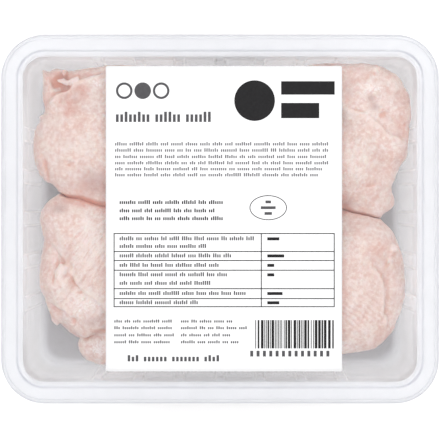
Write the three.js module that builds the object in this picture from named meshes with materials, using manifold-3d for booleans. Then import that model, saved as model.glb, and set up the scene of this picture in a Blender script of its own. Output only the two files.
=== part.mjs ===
// A sealed supermarket tray of raw chicken wings.
//
// The pack is a thermoformed tray of clear plastic with a wide sealing flange and ribbed
// walls, a peel-off film welded to the flange, a paper label stuck on the film, and four
// folded wings, skin side up, lying in one layer inside.
//
// Units are millimetres, +Z is up. The origin is on the table under the middle of the tray,
// +X runs along its longer side and +Y towards its back edge.

import * as THREE from "three";
import { mergeVertices } from "three/addons/utils/BufferGeometryUtils.js";
import Module from "manifold-3d";

// ---------------------------------------------------------------- driving dimensions

const TRAY_LENGTH = 190;
const TRAY_WIDTH = 160;
const RIM_TOP = 42; // height of the sealing flange
const WALL = 0.9; // thickness of the formed sheet
const CORNER_RADIUS = 18.7; // of the flange's outer edge
const CORNER_SEGMENTS = 8;

const EDGE_BEAD = 1.8; // lowered outer edge, outside the weld
const WELD_BAND = 4.8; // flat band that the film is welded to
const LEDGE = 2.7; // lowered stacking ledge, between the band and the cavity
const FLANGE = EDGE_BEAD + WELD_BAND + LEDGE;
const BEAD_DROP = 0.6;
const LEDGE_DROP = 1.4;
const SKIRT_DROP = 3.2; // how far the turned-down outer edge reaches below the band
const RIDGE = 0.35; // height of the rounded lip between ledge and cavity

const DRAFT = 1.6; // how far the walls lean in from flange to floor
const FLOOR_FILLET = 2.6;
const FLOOR_CORNER = 9.5; // radius of the floor's corners

const RIB_PITCH_SHORT_SIDE = 18.6;
const RIB_PITCH_LONG_SIDE = 17.9;
const RIBS_SHORT_SIDE = 5;
const RIBS_LONG_SIDE = 7;
const RIB_WIDTH_SHORT_SIDE = 7.4;
const RIB_WIDTH_LONG_SIDE = 5.2;
const RIB_DEPTH = 0.9; // how far a rib stands into the cavity

const FILM = 0.2;
const LABEL = 0.2;
const LAID_GAP = 0.15; // air left between pieces that lie on each other
const LABEL_SIZE = { x: 102.4, y: 132.3, corner: 0.8 };
const LABEL_CENTRE = { x: 1.7, y: 0.2 };

const WING_GAP = 1.2; // air left between two wings that press on each other
const WING_WALL_GAP = 0.6;
const WING_FLOOR_GAP = 0.4;
const WING_DETAIL = 9; // icosahedron subdivision: 20 * (9 + 1)^2 triangles a wing
const WING_EVENING = 4; // rounds that spread a wing's points evenly over its surface

// ---------------------------------------------------------------- solids and booleans

const wasm = await Module();
wasm.setup();

function solidOf(geometry) {
  const bare = new THREE.BufferGeometry().setAttribute("position", geometry.getAttribute("position"));
  const source = mergeVertices(geometry.index ? bare.setIndex(geometry.index) : bare, 1e-4);
  return new wasm.Manifold(
    new wasm.Mesh({
      numProp: 3,
      vertProperties: source.attributes.position.array,
      triVerts: new Uint32Array(source.index.array),
    }),
  );
}

function geometryOf(solid) {
  const { vertProperties, triVerts } = solid.getMesh();
  const geometry = new THREE.BufferGeometry();
  geometry.setAttribute("position", new THREE.BufferAttribute(vertProperties, 3));
  geometry.setIndex(new THREE.BufferAttribute(triVerts, 1));
  geometry.computeVertexNormals();
  return geometry;
}

// One level of a rounded-rectangle loft: the tray's outline moved in by inset, at height z.
function ring({ z, inset, radius = Math.max(CORNER_RADIUS - inset, 1) }) {
  const halfX = TRAY_LENGTH / 2 - inset - radius;
  const halfY = TRAY_WIDTH / 2 - inset - radius;
  const corners = [
    [halfX, halfY],
    [-halfX, halfY],
    [-halfX, -halfY],
    [halfX, -halfY],
  ];
  return corners.flatMap(([x, y], corner) =>
    Array.from({ length: CORNER_SEGMENTS + 1 }, (_, step) => {
      const angle = (corner + step / CORNER_SEGMENTS) * (Math.PI / 2);
      return [x + radius * Math.cos(angle), y + radius * Math.sin(angle), z];
    }),
  );
}

// A closed body through levels given in the order that keeps their outside to the right
// of the path: from the middle of the underside outwards, up, and back to the middle.
function loft(levels) {
  const rings = levels.map(ring);
  const count = rings[0].length;
  const positions = rings.flat(2);
  const bottom = rings.length * count;
  const top = bottom + 1;
  positions.push(0, 0, levels[0].z, 0, 0, levels.at(-1).z);
  const index = [];
  for (let i = 0; i < count; i++) {
    const next = (i + 1) % count;
    index.push(bottom, next, i);
    for (let level = 0; level + 1 < rings.length; level++) {
      const low = level * count;
      const high = low + count;
      index.push(low + i, low + next, high + next, low + i, high + next, high + i);
    }
    const last = (rings.length - 1) * count;
    index.push(last + i, last + next, top);
  }
  const geometry = new THREE.BufferGeometry();
  geometry.setAttribute("position", new THREE.Float32BufferAttribute(positions, 3));
  geometry.setIndex(index);
  return geometry;
}

// ---------------------------------------------------------------- tray

const wallTop = RIM_TOP - LEDGE_DROP;

// Inset of the cavity's wall at height z.
function cavityInset(z) {
  return FLANGE + DRAFT * (1 - Math.min(Math.max(z / wallTop, 0), 1));
}

// Levels of the quarter round between floor and wall, for a wall at the given inset.
function filletLevels(floorZ, inset, radius, steps = 3) {
  return Array.from({ length: steps + 1 }, (_, i) => {
    const angle = (i / steps) * (Math.PI / 2);
    return {
      z: floorZ + radius * (1 - Math.cos(angle)),
      inset: inset + radius * (1 - Math.sin(angle)),
      radius: FLOOR_CORNER - radius * (1 - Math.sin(angle)) * 0.3,
    };
  });
}

function trayBody() {
  const bandInner = EDGE_BEAD + WELD_BAND;
  const slope = 0.4; // run of the small steps in the flange
  return loft([
    ...filletLevels(0, cavityInset(0) - WALL, FLOOR_FILLET + WALL),
    { z: wallTop - 2.5, inset: FLANGE - WALL },
    { z: wallTop - WALL, inset: FLANGE - WALL - slope },
    { z: wallTop - WALL, inset: bandInner - slope },
    { z: RIM_TOP - WALL, inset: bandInner - slope - 0.3 },
    { z: RIM_TOP - WALL, inset: EDGE_BEAD + 0.3 },
    { z: RIM_TOP - BEAD_DROP - WALL, inset: EDGE_BEAD - 0.1 },
    { z: RIM_TOP - BEAD_DROP - WALL - 0.3, inset: WALL },
    { z: RIM_TOP - SKIRT_DROP, inset: WALL - 0.2 },
    { z: RIM_TOP - SKIRT_DROP, inset: 0 },
    { z: RIM_TOP - BEAD_DROP - 0.5, inset: 0 },
    { z: RIM_TOP - BEAD_DROP, inset: 0.5 },
    { z: RIM_TOP - BEAD_DROP, inset: EDGE_BEAD - 0.3 },
    { z: RIM_TOP, inset: EDGE_BEAD },
    { z: RIM_TOP, inset: bandInner },
    { z: wallTop, inset: bandInner + slope },
    { z: wallTop, inset: FLANGE - 0.7 },
    { z: wallTop + RIDGE, inset: FLANGE - 0.4 },
    { z: wallTop + RIDGE, inset: FLANGE + 0.3 },
  ]);
}

function cavityBody() {
  return loft([
    ...filletLevels(WALL, cavityInset(0), FLOOR_FILLET),
    { z: wallTop - 0.6, inset: FLANGE + 0.1 },
    { z: wallTop + RIDGE - 0.1, inset: FLANGE - 0.1 },
    { z: RIM_TOP + 5, inset: FLANGE - 0.1 },
  ]);
}

// A rib is a trapezoid post: wide on the wall, narrower at its crest, leaning with the wall.
// side says which wall it stands on, along says where, and out moves it towards the outside.
function ribPost({ side, along, width, out, low, high }) {
  const crest = width * 0.62;
  const half = side === "x" ? TRAY_LENGTH / 2 : TRAY_WIDTH / 2;
  const depthAt = (z) => half - cavityInset(z) + out;
  const root = 3; // reaches this far into the wall, so that the join is solid
  const outline = [
    [root, -width / 2 - root * 0.2],
    [root, width / 2 + root * 0.2],
    [-RIB_DEPTH, crest / 2],
    [-RIB_DEPTH, -crest / 2],
  ];
  const positions = [low, high].flatMap((z) =>
    outline.flatMap(([depth, across]) =>
      side === "x" ? [depthAt(z) + depth, along + across, z] : [along - across, depthAt(z) + depth, z],
    ),
  );
  const index = [2, 1, 0, 3, 2, 0, 4, 5, 6, 4, 6, 7];
  for (let i = 0; i < 4; i++) {
    const next = (i + 1) % 4;
    index.push(i, next, next + 4, i, next + 4, i + 4);
  }
  const geometry = new THREE.BufferGeometry();
  geometry.setAttribute("position", new THREE.Float32BufferAttribute(positions, 3));
  geometry.setIndex(index);
  return geometry;
}

function ribs(out, low, high) {
  const posts = [];
  const wall = (side, count, pitch, width) => {
    for (let i = 0; i < count; i++) {
      const along = (i - (count - 1) / 2) * pitch;
      for (const turn of [0, Math.PI]) {
        posts.push(solidOf(ribPost({ side, along, width, out, low, high }).rotateZ(turn)));
      }
    }
  };
  wall("x", RIBS_SHORT_SIDE, RIB_PITCH_SHORT_SIDE, RIB_WIDTH_SHORT_SIDE);
  wall("y", RIBS_LONG_SIDE, RIB_PITCH_LONG_SIDE, RIB_WIDTH_LONG_SIDE);
  return posts.reduce((all, post) => all.add(post));
}

function trayGeometry() {
  const cavity = solidOf(cavityBody()).subtract(ribs(0, WALL, wallTop - 0.2));
  const grooves = ribs(0, FLOOR_FILLET + WALL, wallTop - 3).intersect(
    // only what lies outside the wall's outer skin less the groove's depth
    solidOf(
      loft([
        { z: -1, inset: -5 },
        { z: RIM_TOP, inset: -5 },
      ]),
    ).subtract(
      solidOf(
        loft([
          { z: -2, inset: cavityInset(0) - WALL + RIB_DEPTH, radius: FLOOR_CORNER },
          { z: wallTop, inset: FLANGE - WALL + RIB_DEPTH },
          { z: RIM_TOP + 1, inset: FLANGE - WALL + RIB_DEPTH },
        ]),
      ),
    ),
  );
  return geometryOf(solidOf(trayBody()).subtract(grooves).subtract(cavity));
}

// ---------------------------------------------------------------- film and label

function roundedRectangle(width, height, radius) {
  const x = width / 2 - radius;
  const y = height / 2 - radius;
  const shape = new THREE.Shape();
  shape.absarc(x, y, radius, 0, Math.PI / 2);
  shape.absarc(-x, y, radius, Math.PI / 2, Math.PI);
  shape.absarc(-x, -y, radius, Math.PI, 1.5 * Math.PI);
  shape.absarc(x, -y, radius, 1.5 * Math.PI, 2 * Math.PI);
  return shape;
}

function sheet(width, height, radius, thickness) {
  return new THREE.ExtrudeGeometry(roundedRectangle(width, height, radius), {
    depth: thickness,
    bevelEnabled: false,
    curveSegments: CORNER_SEGMENTS,
  });
}

// ---------------------------------------------------------------- wings

// A wing lies skin side up, folded at its joints and pressed into its corner of the tray.
// It is made of fleshy lobes that run together under the skin, listed from the lowest to the
// one on top. A lobe is an upright column with an elliptical outline and rounded ends: where
// it stands, its half sizes, its top, the height of its rounded cap, its turn about the
// vertical in degrees, and how softly it runs into the lobes before it.
// A fold is where one sheet of skin lies over its neighbour: the path of its edge, seen from
// above, with the upper sheet on the left, how deep the crease is, how far the upper sheet's
// lip stands up, and how far the lower side dips. A pit is a dent with a round outline.

const WINGS = {
  wing_back_left: {
    middle: [-46, 35, 16],
    lobes: [
      { at: [-48, 60.5], size: [28, 8.5], top: 36.5, cap: 8 },
      { at: [-72.8, 57], size: [6.3, 12.5], top: 35.5, cap: 7, blend: 4 },
      { at: [-22, 36], size: [21, 30], top: 37.5, cap: 14, blend: 8 },
      { at: [-76.5, 30], size: [7.5, 13], top: 33, cap: 7, turn: 12, blend: 3 },
      { at: [-50, 33.5], size: [33, 27.5], top: 39, cap: 13, blend: 2.5 },
      { at: [-44, 24], size: [20, 19], top: 37.5, cap: 13, blend: 8 },
    ],
    folds: [
      {
        path: [[-47.5, 64.5], [-57.5, 64], [-63.5, 62], [-69, 58], [-74, 54.5], [-77.5, 51]],
        depth: 3,
        lip: 0.9,
        dip: 3,
      },
      { path: [[-76, 19], [-79, 22.5], [-81, 27], [-81, 32]], depth: 2.2, lip: 0.8, dip: 2.5 },
    ],
    pits: [
      { at: [-70.3, 60.5, 33], radius: 3.6, depth: 6 },
      { at: [-61, 63.8, 34.5], radius: 1.8, depth: 2 },
    ],
  },
  wing_front_left: {
    middle: [-46, -27, 16],
    lobes: [
      { at: [-73.5, -24], size: [8.5, 15.5], top: 30, cap: 9 },
      { at: [-55, -38], size: [18, 15.5], top: 33, cap: 11, blend: 7 },
      { at: [-70.5, -28], size: [8, 10], top: 33, cap: 9, blend: 3 },
      { at: [-67, -42.5], size: [14, 9], top: 19, cap: 8, turn: -52, blend: 4 },
      { at: [-48.5, -57.5], size: [15.5, 10.5], top: 24, cap: 9, blend: 2 },
      { at: [-22, -32], size: [21, 30], top: 36.5, cap: 14, blend: 8 },
      { at: [-40, -18], size: [38, 26], top: 39, cap: 13, turn: -50, blend: 2 },
      { at: [-63.5, -1.5], size: [16.5, 12], top: 35.5, cap: 11, blend: 8 },
      { at: [-71, 3], size: [8, 7.5], top: 31, cap: 8, blend: 6 },
    ],
    folds: [
      {
        path: [[-76.5, -10.5], [-70.5, -17], [-67.5, -25], [-58, -34.5], [-46, -44.5]],
        depth: 2,
        lip: 1,
        dip: 4.5,
      },
      { path: [[-78, -35], [-75, -37.5], [-70, -41], [-66, -45]], depth: 1.2, lip: 0.7, dip: 3 },
      { path: [[-62.5, -55], [-57, -52], [-48.5, -50]], depth: 2.5, lip: 0.3, dip: 3 },
      { path: [[-74, -15], [-72.5, -19.5], [-74, -24], [-76, -29]], depth: 1.5, lip: 0.3, dip: 2.5 },
    ],
    pits: [],
  },
  wing_back_right: {
    middle: [50, 34, 16],
    lobes: [
      { at: [65.5, 47], size: [19.5, 21], top: 38.8, cap: 6 },
      { at: [48, 57], size: [22, 12.5], top: 37.5, cap: 9, blend: 8 },
      { at: [61.5, 10], size: [17.5, 11], top: 32, cap: 10, blend: 6 },
      { at: [24, 35.5], size: [22.5, 31], top: 37.5, cap: 14, blend: 8 },
      { at: [48, 28], size: [28, 20.5], top: 39.5, cap: 14, turn: -20, blend: 3 },
      { at: [71, 33.5], size: [14, 9.5], top: 38, cap: 9, turn: -28, blend: 6 },
    ],
    folds: [
      {
        path: [[85, 30], [80.5, 35], [76.5, 38], [71, 41.5], [64, 46.5], [53, 50]],
        depth: 2.2,
        lip: 1,
        dip: 4,
      },
      { path: [[72.5, 15.5], [66, 15], [58, 15.5]], depth: 1, lip: 0.5, dip: 3 },
    ],
    pits: [
      { at: [67.5, 51.5, 38], radius: 4, depth: 3 },
      { at: [72, 45, 37.5], radius: 2.5, depth: 2 },
    ],
  },
  wing_front_right: {
    middle: [48, -30, 16],
    lobes: [
      { at: [71.5, -31], size: [11.8, 20.5], top: 32, cap: 10, turn: 3 },
      { at: [62, -47], size: [14.5, 13], top: 33, cap: 11, blend: 6 },
      { at: [24, -32], size: [21, 29], top: 37.5, cap: 14, blend: 8 },
      { at: [48, -30], size: [27, 31], top: 39.5, cap: 15, turn: 8, blend: 2.5 },
      { at: [64, -14.5], size: [15, 13], top: 36.5, cap: 13, blend: 9 },
    ],
    folds: [
      {
        path: [[73.5, -51], [74.5, -44.5], [73.5, -39.5], [74, -32], [70.5, -23.5], [65, -16.5]],
        depth: 2.8,
        lip: 0.9,
        dip: 3.5,
      },
      { path: [[76.5, -15.5], [74, -19.5], [71.5, -25]], depth: 1.5, lip: 0.3, dip: 2.5 },
    ],
    pits: [],
  },
};

const UNDERSIDE = 16; // height of every lobe's rounded lower end
const FOLD_STEPS = 4; // straight pieces between two points of a fold's path
const FOLD_FADE = 6; // length over which a fold dies out at its ends
const LIP_RISE = 1.8; // how sharply the upper sheet's edge turns down
const LIP_ROLL = 6; // how far the upper sheet's swelling reaches
const FOLD_FOOT = 12; // folds start above this height
const FOLD_FULL = 22; // and are fully formed from this height up

function smoothUnion(a, b, blend) {
  const overlap = Math.max(blend - Math.abs(a - b), 0) / blend;
  return Math.min(a, b) - (overlap * overlap * blend) / 4;
}

function smoothCut(a, b, blend) {
  return -smoothUnion(-a, -b, blend);
}

// The functions below give distances to a surface in millimetres, negative inside it, near
// enough for rounding and offsetting.

function lobeDistance({ at, size, top, cap, turn = 0 }) {
  const c = Math.cos(THREE.MathUtils.degToRad(turn));
  const s = Math.sin(THREE.MathUtils.degToRad(turn));
  const high = top - cap;
  const low = Math.min(UNDERSIDE, high);
  return (p) => {
    const x = p.x - at[0];
    const y = p.y - at[1];
    const along = x * c + y * s;
    const across = y * c - x * s;
    const up = p.z - THREE.MathUtils.clamp(p.z, low, high);
    const round = up > 0 ? cap : low;
    const far = Math.hypot(along / size[0], across / size[1], up / round);
    const steep = Math.hypot(along / size[0] ** 2, across / size[1] ** 2, up / round ** 2);
    return (far * (far - 1)) / Math.max(steep, 1e-6);
  };
}

// How much a fold takes off the surface at a point, or adds to it where negative.
function foldRelief({ path, depth, lip, dip }) {
  const spline = new THREE.SplineCurve(path.map(([x, y]) => new THREE.Vector2(x, y)));
  const points = spline.getPoints((path.length - 1) * FOLD_STEPS);
  const length = spline.getLength();
  const nearest = new THREE.Vector2();
  const here = new THREE.Vector2();
  return (p) => {
    if (p.z < FOLD_FOOT) return 0;
    here.set(p.x, p.y);
    let best = Infinity;
    let side = 1;
    let toEnd = 0;
    let run = 0;
    for (let i = 0; i + 1 < points.length; i++) {
      const start = points[i];
      const step = nearest.subVectors(points[i + 1], start);
      const size = step.length();
      const dx = here.x - start.x;
      const dy = here.y - start.y;
      const t = THREE.MathUtils.clamp((dx * step.x + dy * step.y) / size ** 2, 0, 1);
      const away = Math.hypot(dx - t * step.x, dy - t * step.y);
      if (away < best) {
        best = away;
        side = step.x * dy - step.y * dx;
        toEnd = Math.min(run + t * size, length - run - t * size);
      }
      run += size;
    }
    const rise = Math.exp(-((best / LIP_RISE) ** 2));
    const upper = depth * rise - lip * (1 - rise) * Math.exp(-best / LIP_ROLL);
    const lower = depth * Math.exp(-best / dip);
    const fade = THREE.MathUtils.smoothstep(toEnd, 0, FOLD_FADE);
    const height = Math.min((p.z - FOLD_FOOT) / (FOLD_FULL - FOLD_FOOT), 1);
    return (side > 0 ? upper : lower) * fade * height;
  };
}

// Distance outside the space that the tray leaves for its contents.
function traySpaceDistance(p) {
  const inset = cavityInset(p.z) + RIB_DEPTH + WING_WALL_GAP;
  const x = Math.abs(p.x) - (TRAY_LENGTH / 2 - inset - FLOOR_CORNER);
  const y = Math.abs(p.y) - (TRAY_WIDTH / 2 - inset - FLOOR_CORNER);
  const outside = Math.hypot(Math.max(x, 0), Math.max(y, 0));
  const wall = outside + Math.min(Math.max(x, y), 0) - FLOOR_CORNER;
  return smoothCut(wall, WALL + WING_FLOOR_GAP - p.z, 4);
}

function wingDistance({ lobes, folds, pits }) {
  const lobeDistances = lobes.map((lobe) => lobeDistance(lobe));
  const reliefs = folds.map(foldRelief);
  return (p) => {
    let distance = lobeDistances[0](p);
    for (let i = 1; i < lobes.length; i++) {
      distance = smoothUnion(distance, lobeDistances[i](p), lobes[i].blend);
    }
    for (const relief of reliefs) distance += relief(p);
    for (const { at, radius, depth } of pits) {
      const away = Math.hypot(p.x - at[0], p.y - at[1], p.z - at[2]) / radius;
      distance += depth * Math.exp(-away * away);
    }
    return smoothCut(distance, traySpaceDistance(p), 1.5);
  };
}

// The place where a ray from the wing's middle leaves the flesh for good.
function castRay(surface, middle, direction) {
  const farthest = 64;
  const nearest = 3;
  const longestStep = 4;
  const point = new THREE.Vector3();
  const distanceAt = (radius) => surface(point.copy(direction).multiplyScalar(radius).add(middle));
  let inside = farthest;
  let distance = distanceAt(inside);
  while (distance > 0 && inside > nearest) {
    inside -= THREE.MathUtils.clamp(distance * 0.6, 0.15, longestStep);
    distance = distanceAt(inside);
  }
  let outside = inside + longestStep;
  for (let halving = 0; halving < 14; halving++) {
    const half = (inside + outside) / 2;
    if (distanceAt(half) > 0) outside = half;
    else inside = half;
  }
  distanceAt(inside);
  return point;
}

// For each vertex of a closed mesh, the vertices that an edge joins it to.
function neighboursOf(geometry) {
  const index = geometry.getIndex();
  const neighbours = Array.from({ length: geometry.getAttribute("position").count }, () => []);
  for (let i = 0; i < index.count; i += 3) {
    for (let corner = 0; corner < 3; corner++) {
      neighbours[index.getX(i + corner)].push(index.getX(i + ((corner + 1) % 3)));
    }
  }
  return neighbours;
}

// The skin is a ball whose points are drawn in along their rays to the flesh's surface, and
// then evened out over it. The wing stays clear of those placed before it.
function wingGeometry(wing, placed) {
  const flesh = wingDistance(wing);
  const others = placed.map(wingDistance);
  const surface = (p) =>
    others.reduce((all, other) => smoothCut(all, WING_GAP - other(p), 2), flesh(p));
  const ball = new THREE.IcosahedronGeometry(1, WING_DETAIL);
  ball.deleteAttribute("normal");
  ball.deleteAttribute("uv");
  const geometry = mergeVertices(ball, 1e-4);
  const vertices = geometry.getAttribute("position");
  const middle = new THREE.Vector3(...wing.middle);
  const flatness = new THREE.Vector3(38, 33, 19); // a wing's rough half sizes
  const rays = Array.from({ length: vertices.count }, (_, i) =>
    new THREE.Vector3().fromBufferAttribute(vertices, i).multiply(flatness).normalize(),
  );
  let skinPoints = rays.map((ray) => castRay(surface, middle, ray));
  const neighbours = neighboursOf(geometry);
  for (let round = 0; round < WING_EVENING; round++) {
    const evened = neighbours.map((near) =>
      near
        .reduce((sum, i) => sum.add(skinPoints[i]), new THREE.Vector3())
        .divideScalar(near.length)
        .sub(middle)
        .normalize(),
    );
    skinPoints = evened.map((ray) => castRay(surface, middle, ray));
  }
  skinPoints.forEach(({ x, y, z }, i) => vertices.setXYZ(i, x, y, z));
  geometry.computeVertexNormals();
  return geometry;
}

// ---------------------------------------------------------------- the pack

const clearPlastic = new THREE.MeshStandardMaterial({
  color: 0xeceef5,
  roughness: 0.3,
  metalness: 0,
  transparent: true,
  opacity: 0.45,
});
const film = new THREE.MeshStandardMaterial({
  color: 0xf6f6fa,
  roughness: 0.15,
  metalness: 0,
  transparent: true,
  opacity: 0.2,
});
const paper = new THREE.MeshStandardMaterial({ color: 0xfdfdfd, roughness: 0.6, metalness: 0 });
const skin = new THREE.MeshStandardMaterial({ color: 0xe6c9bf, roughness: 0.45, metalness: 0 });

const pack = new THREE.Group();

function addPiece(name, geometry, material, position = [0, 0, 0]) {
  const mesh = new THREE.Mesh(geometry, material);
  mesh.name = name;
  mesh.position.set(...position);
  pack.add(mesh);
}

addPiece("tray", trayGeometry(), clearPlastic);

const placed = [];
for (const [name, wing] of Object.entries(WINGS)) {
  addPiece(name, wingGeometry(wing, placed), skin);
  placed.push(wing);
}

addPiece(
  "lid_film",
  sheet(
    TRAY_LENGTH - 2 * EDGE_BEAD,
    TRAY_WIDTH - 2 * EDGE_BEAD,
    CORNER_RADIUS - EDGE_BEAD,
    FILM,
  ),
  film,
  [0, 0, RIM_TOP + LAID_GAP],
);

addPiece("label", sheet(LABEL_SIZE.x, LABEL_SIZE.y, LABEL_SIZE.corner, LABEL), paper, [
  LABEL_CENTRE.x,
  LABEL_CENTRE.y,
  RIM_TOP + LAID_GAP + FILM + LAID_GAP,
]);

export default pack;
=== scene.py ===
# A sealed supermarket tray of raw chicken wings, seen from straight above.
#
# The pieces come in the order in which the pack is filled and closed: the tray, the four
# wings, the lid film, the label and its print. Sizes are millimetres until a mesh is made.

import bpy
import itertools
import math
import numpy as np
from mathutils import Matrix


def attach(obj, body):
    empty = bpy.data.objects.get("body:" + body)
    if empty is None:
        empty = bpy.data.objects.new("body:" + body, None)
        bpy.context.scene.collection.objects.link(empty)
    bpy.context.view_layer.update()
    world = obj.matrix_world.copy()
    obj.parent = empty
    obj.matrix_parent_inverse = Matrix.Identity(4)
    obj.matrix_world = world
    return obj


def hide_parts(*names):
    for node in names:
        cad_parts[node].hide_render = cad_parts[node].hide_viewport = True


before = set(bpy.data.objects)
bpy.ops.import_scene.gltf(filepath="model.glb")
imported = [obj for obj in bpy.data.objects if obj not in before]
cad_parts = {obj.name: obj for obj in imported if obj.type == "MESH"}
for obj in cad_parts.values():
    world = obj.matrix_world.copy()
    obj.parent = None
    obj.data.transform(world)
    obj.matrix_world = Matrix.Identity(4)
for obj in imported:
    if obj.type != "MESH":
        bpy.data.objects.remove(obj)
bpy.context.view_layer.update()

# ------------------------------------------------------------------ tray
# The tray is formed under vacuum from one sheet of natural polypropylene. It has a sealing
# flange with a lowered edge bead, a flat weld band and a stacking ledge, and stiffening ribs
# pressed into all four walls, so that the sheet stays 0.9 mm thick through them.

TRAY_LENGTH = 190
TRAY_WIDTH = 160
RIM_TOP = 42
WALL = 0.9
CORNER_RADIUS = 18.7
BAND_OUTER = 1.8
BAND_INNER = 6.6
FLANGE = 9.3
BEAD_DROP = 0.6
LEDGE_TOP = RIM_TOP - 1.4
SKIRT_END = RIM_TOP - 3.2
SKIRT_FLARE = 0.6  # how far the foot of the turned-down edge leans out
RIDGE = 0.35
DRAFT = 1.6
FLOOR_FILLET = 4.4
FLOOR_CORNER = 9.5
RIB_DEPTH = 0.9
RIBS_ON_SHORT_SIDE = dict(count=5, pitch=18.6, width=7.4)
RIBS_ON_LONG_SIDE = dict(count=7, pitch=17.9, width=5.2)
RIB_CREST = 0.62  # a rib's crest, as a share of its width
MILKY_DEPTH = 14  # how far below the ledge the sheet is still thick

RING_STEP = 0.6
CORNER_STEPS = 14
WALL_STEP = 1.5


def linear(hex_colour):
    """Turns an sRGB hex colour into the linear RGBA that Blender's sockets take."""
    channels = [int(hex_colour[i : i + 2], 16) / 255 for i in (1, 3, 5)]
    return (*(c / 12.92 if c <= 0.04045 else ((c + 0.055) / 1.055) ** 2.4 for c in channels), 1)


def scale_for(size):
    """The scale of a pattern whose marks are this many millimetres apart."""
    return 1000 / size


def add(tree, kind, inputs=None, **settings):
    """Adds a node; an input is either a value or the output of another node."""
    node = tree.nodes.new(kind)
    for name, value in settings.items():
        setattr(node, name, value)
    for name, value in (inputs or {}).items():
        if isinstance(value, bpy.types.NodeSocket):
            tree.links.new(value, node.inputs[name])
        else:
            node.inputs[name].default_value = value
    return node


def new_material(name):
    """An empty node material; its tree, and the socket that takes its surface."""
    material = bpy.data.materials.new(name)
    material.use_nodes = True
    tree = material.node_tree
    tree.nodes.clear()
    output = add(tree, "ShaderNodeOutputMaterial")
    return material, tree, output.inputs["Surface"]


def make_piece(name, points, faces, material):
    """Makes a piece from millimetre points, fixed to the pack."""
    mesh = bpy.data.meshes.new(name)
    mesh.from_pydata((np.asarray(points) / 1000).tolist(), [], list(faces))
    mesh.shade_smooth()
    mesh.materials.append(material)
    piece = bpy.data.objects.new(name, mesh)
    bpy.context.collection.objects.link(piece)
    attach(piece, "root")
    return piece


def ring(inset, corner):
    """A rounded rectangle inset from the tray's edge, as points with a fixed count."""
    half = np.array([TRAY_LENGTH, TRAY_WIDTH]) / 2 - inset - corner
    points = []
    for turn, (sx, sy) in enumerate([(1, 1), (-1, 1), (-1, -1), (1, -1)]):
        centre = half * (sx, sy)
        angles = (turn + np.linspace(0, 1, CORNER_STEPS + 1)) * math.pi / 2
        arc = centre + corner * np.stack([np.cos(angles), np.sin(angles)], 1)
        side = (TRAY_LENGTH if turn % 2 == 0 else TRAY_WIDTH) - 2 * CORNER_RADIUS
        steps = round(side / RING_STEP)
        along = (-2 * half[0] * sx, 0) if turn % 2 == 0 else (0, -2 * half[1] * sy)
        straight = np.linspace(arc[-1], arc[-1] + along, steps + 1)[1:-1]
        points += [arc, straight]
    return np.concatenate(points)


def rounded(levels):
    """Rounds the corners of a profile of (inset, height, corner radius, rounding)."""
    values = np.array([level[:3] for level in levels], float)
    out = [values[0]]
    for i in range(1, len(levels) - 1):
        before, here, after = values[i - 1 : i + 2]
        reach_in = np.hypot(*(before - here)[:2])
        reach_out = np.hypot(*(after - here)[:2])
        amount = min(levels[i][3], reach_in * 0.48, reach_out * 0.48)
        if amount < 0.05:
            out.append(here)
            continue
        start = here + (before - here) * amount / reach_in
        end = here + (after - here) * amount / reach_out
        for t in np.linspace(0, 1, 5):
            out.append((1 - t) ** 2 * start + 2 * t * (1 - t) * here + t * t * end)
    out.append(values[-1])
    fine = [out[0]]
    for point in out[1:]:
        steps = max(math.ceil(np.hypot(*(point - fine[-1])[:2]) / WALL_STEP), 1)
        start = fine[-1]
        fine += [start + (point - start) * (k + 1) / steps for k in range(steps)]
    return np.array(fine)


def cavity_inset(z):
    return FLANGE + DRAFT * (1 - np.clip(z / LEDGE_TOP, 0, 1))


def smooth(value, low, high):
    """Rises smoothly from 0 at low to 1 at high."""
    t = np.clip((value - low) / (high - low), 0, 1)
    return t * t * (3 - 2 * t)


def closed_stack(stack, middles):
    """The closed skin over a stack of outlines, from the underside's middle to the top's."""
    count = len(stack[0])
    here = np.arange(count)
    after = (here + 1) % count
    faces = []
    for level in range(len(stack) - 1):
        low, high = level * count, (level + 1) * count
        faces += np.stack([low + here, low + after, high + after, high + here], 1).tolist()
    last, middle = (len(stack) - 1) * count, len(stack) * count
    faces += np.stack([np.full(count, middle), after, here], 1).tolist()
    faces += np.stack([last + here, last + after, np.full(count, middle + 1)], 1).tolist()
    return np.concatenate([*stack, middles]), faces


def rib_height(along, count, pitch, width):
    """How far the ribs of one wall stand out, from 0 to 1, at a place along it."""
    places = (np.arange(count) - (count - 1) / 2) * pitch
    away = np.abs(along[:, None] - places).min(1)
    return 1 - smooth(away, width * RIB_CREST / 2, width / 2)


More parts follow.
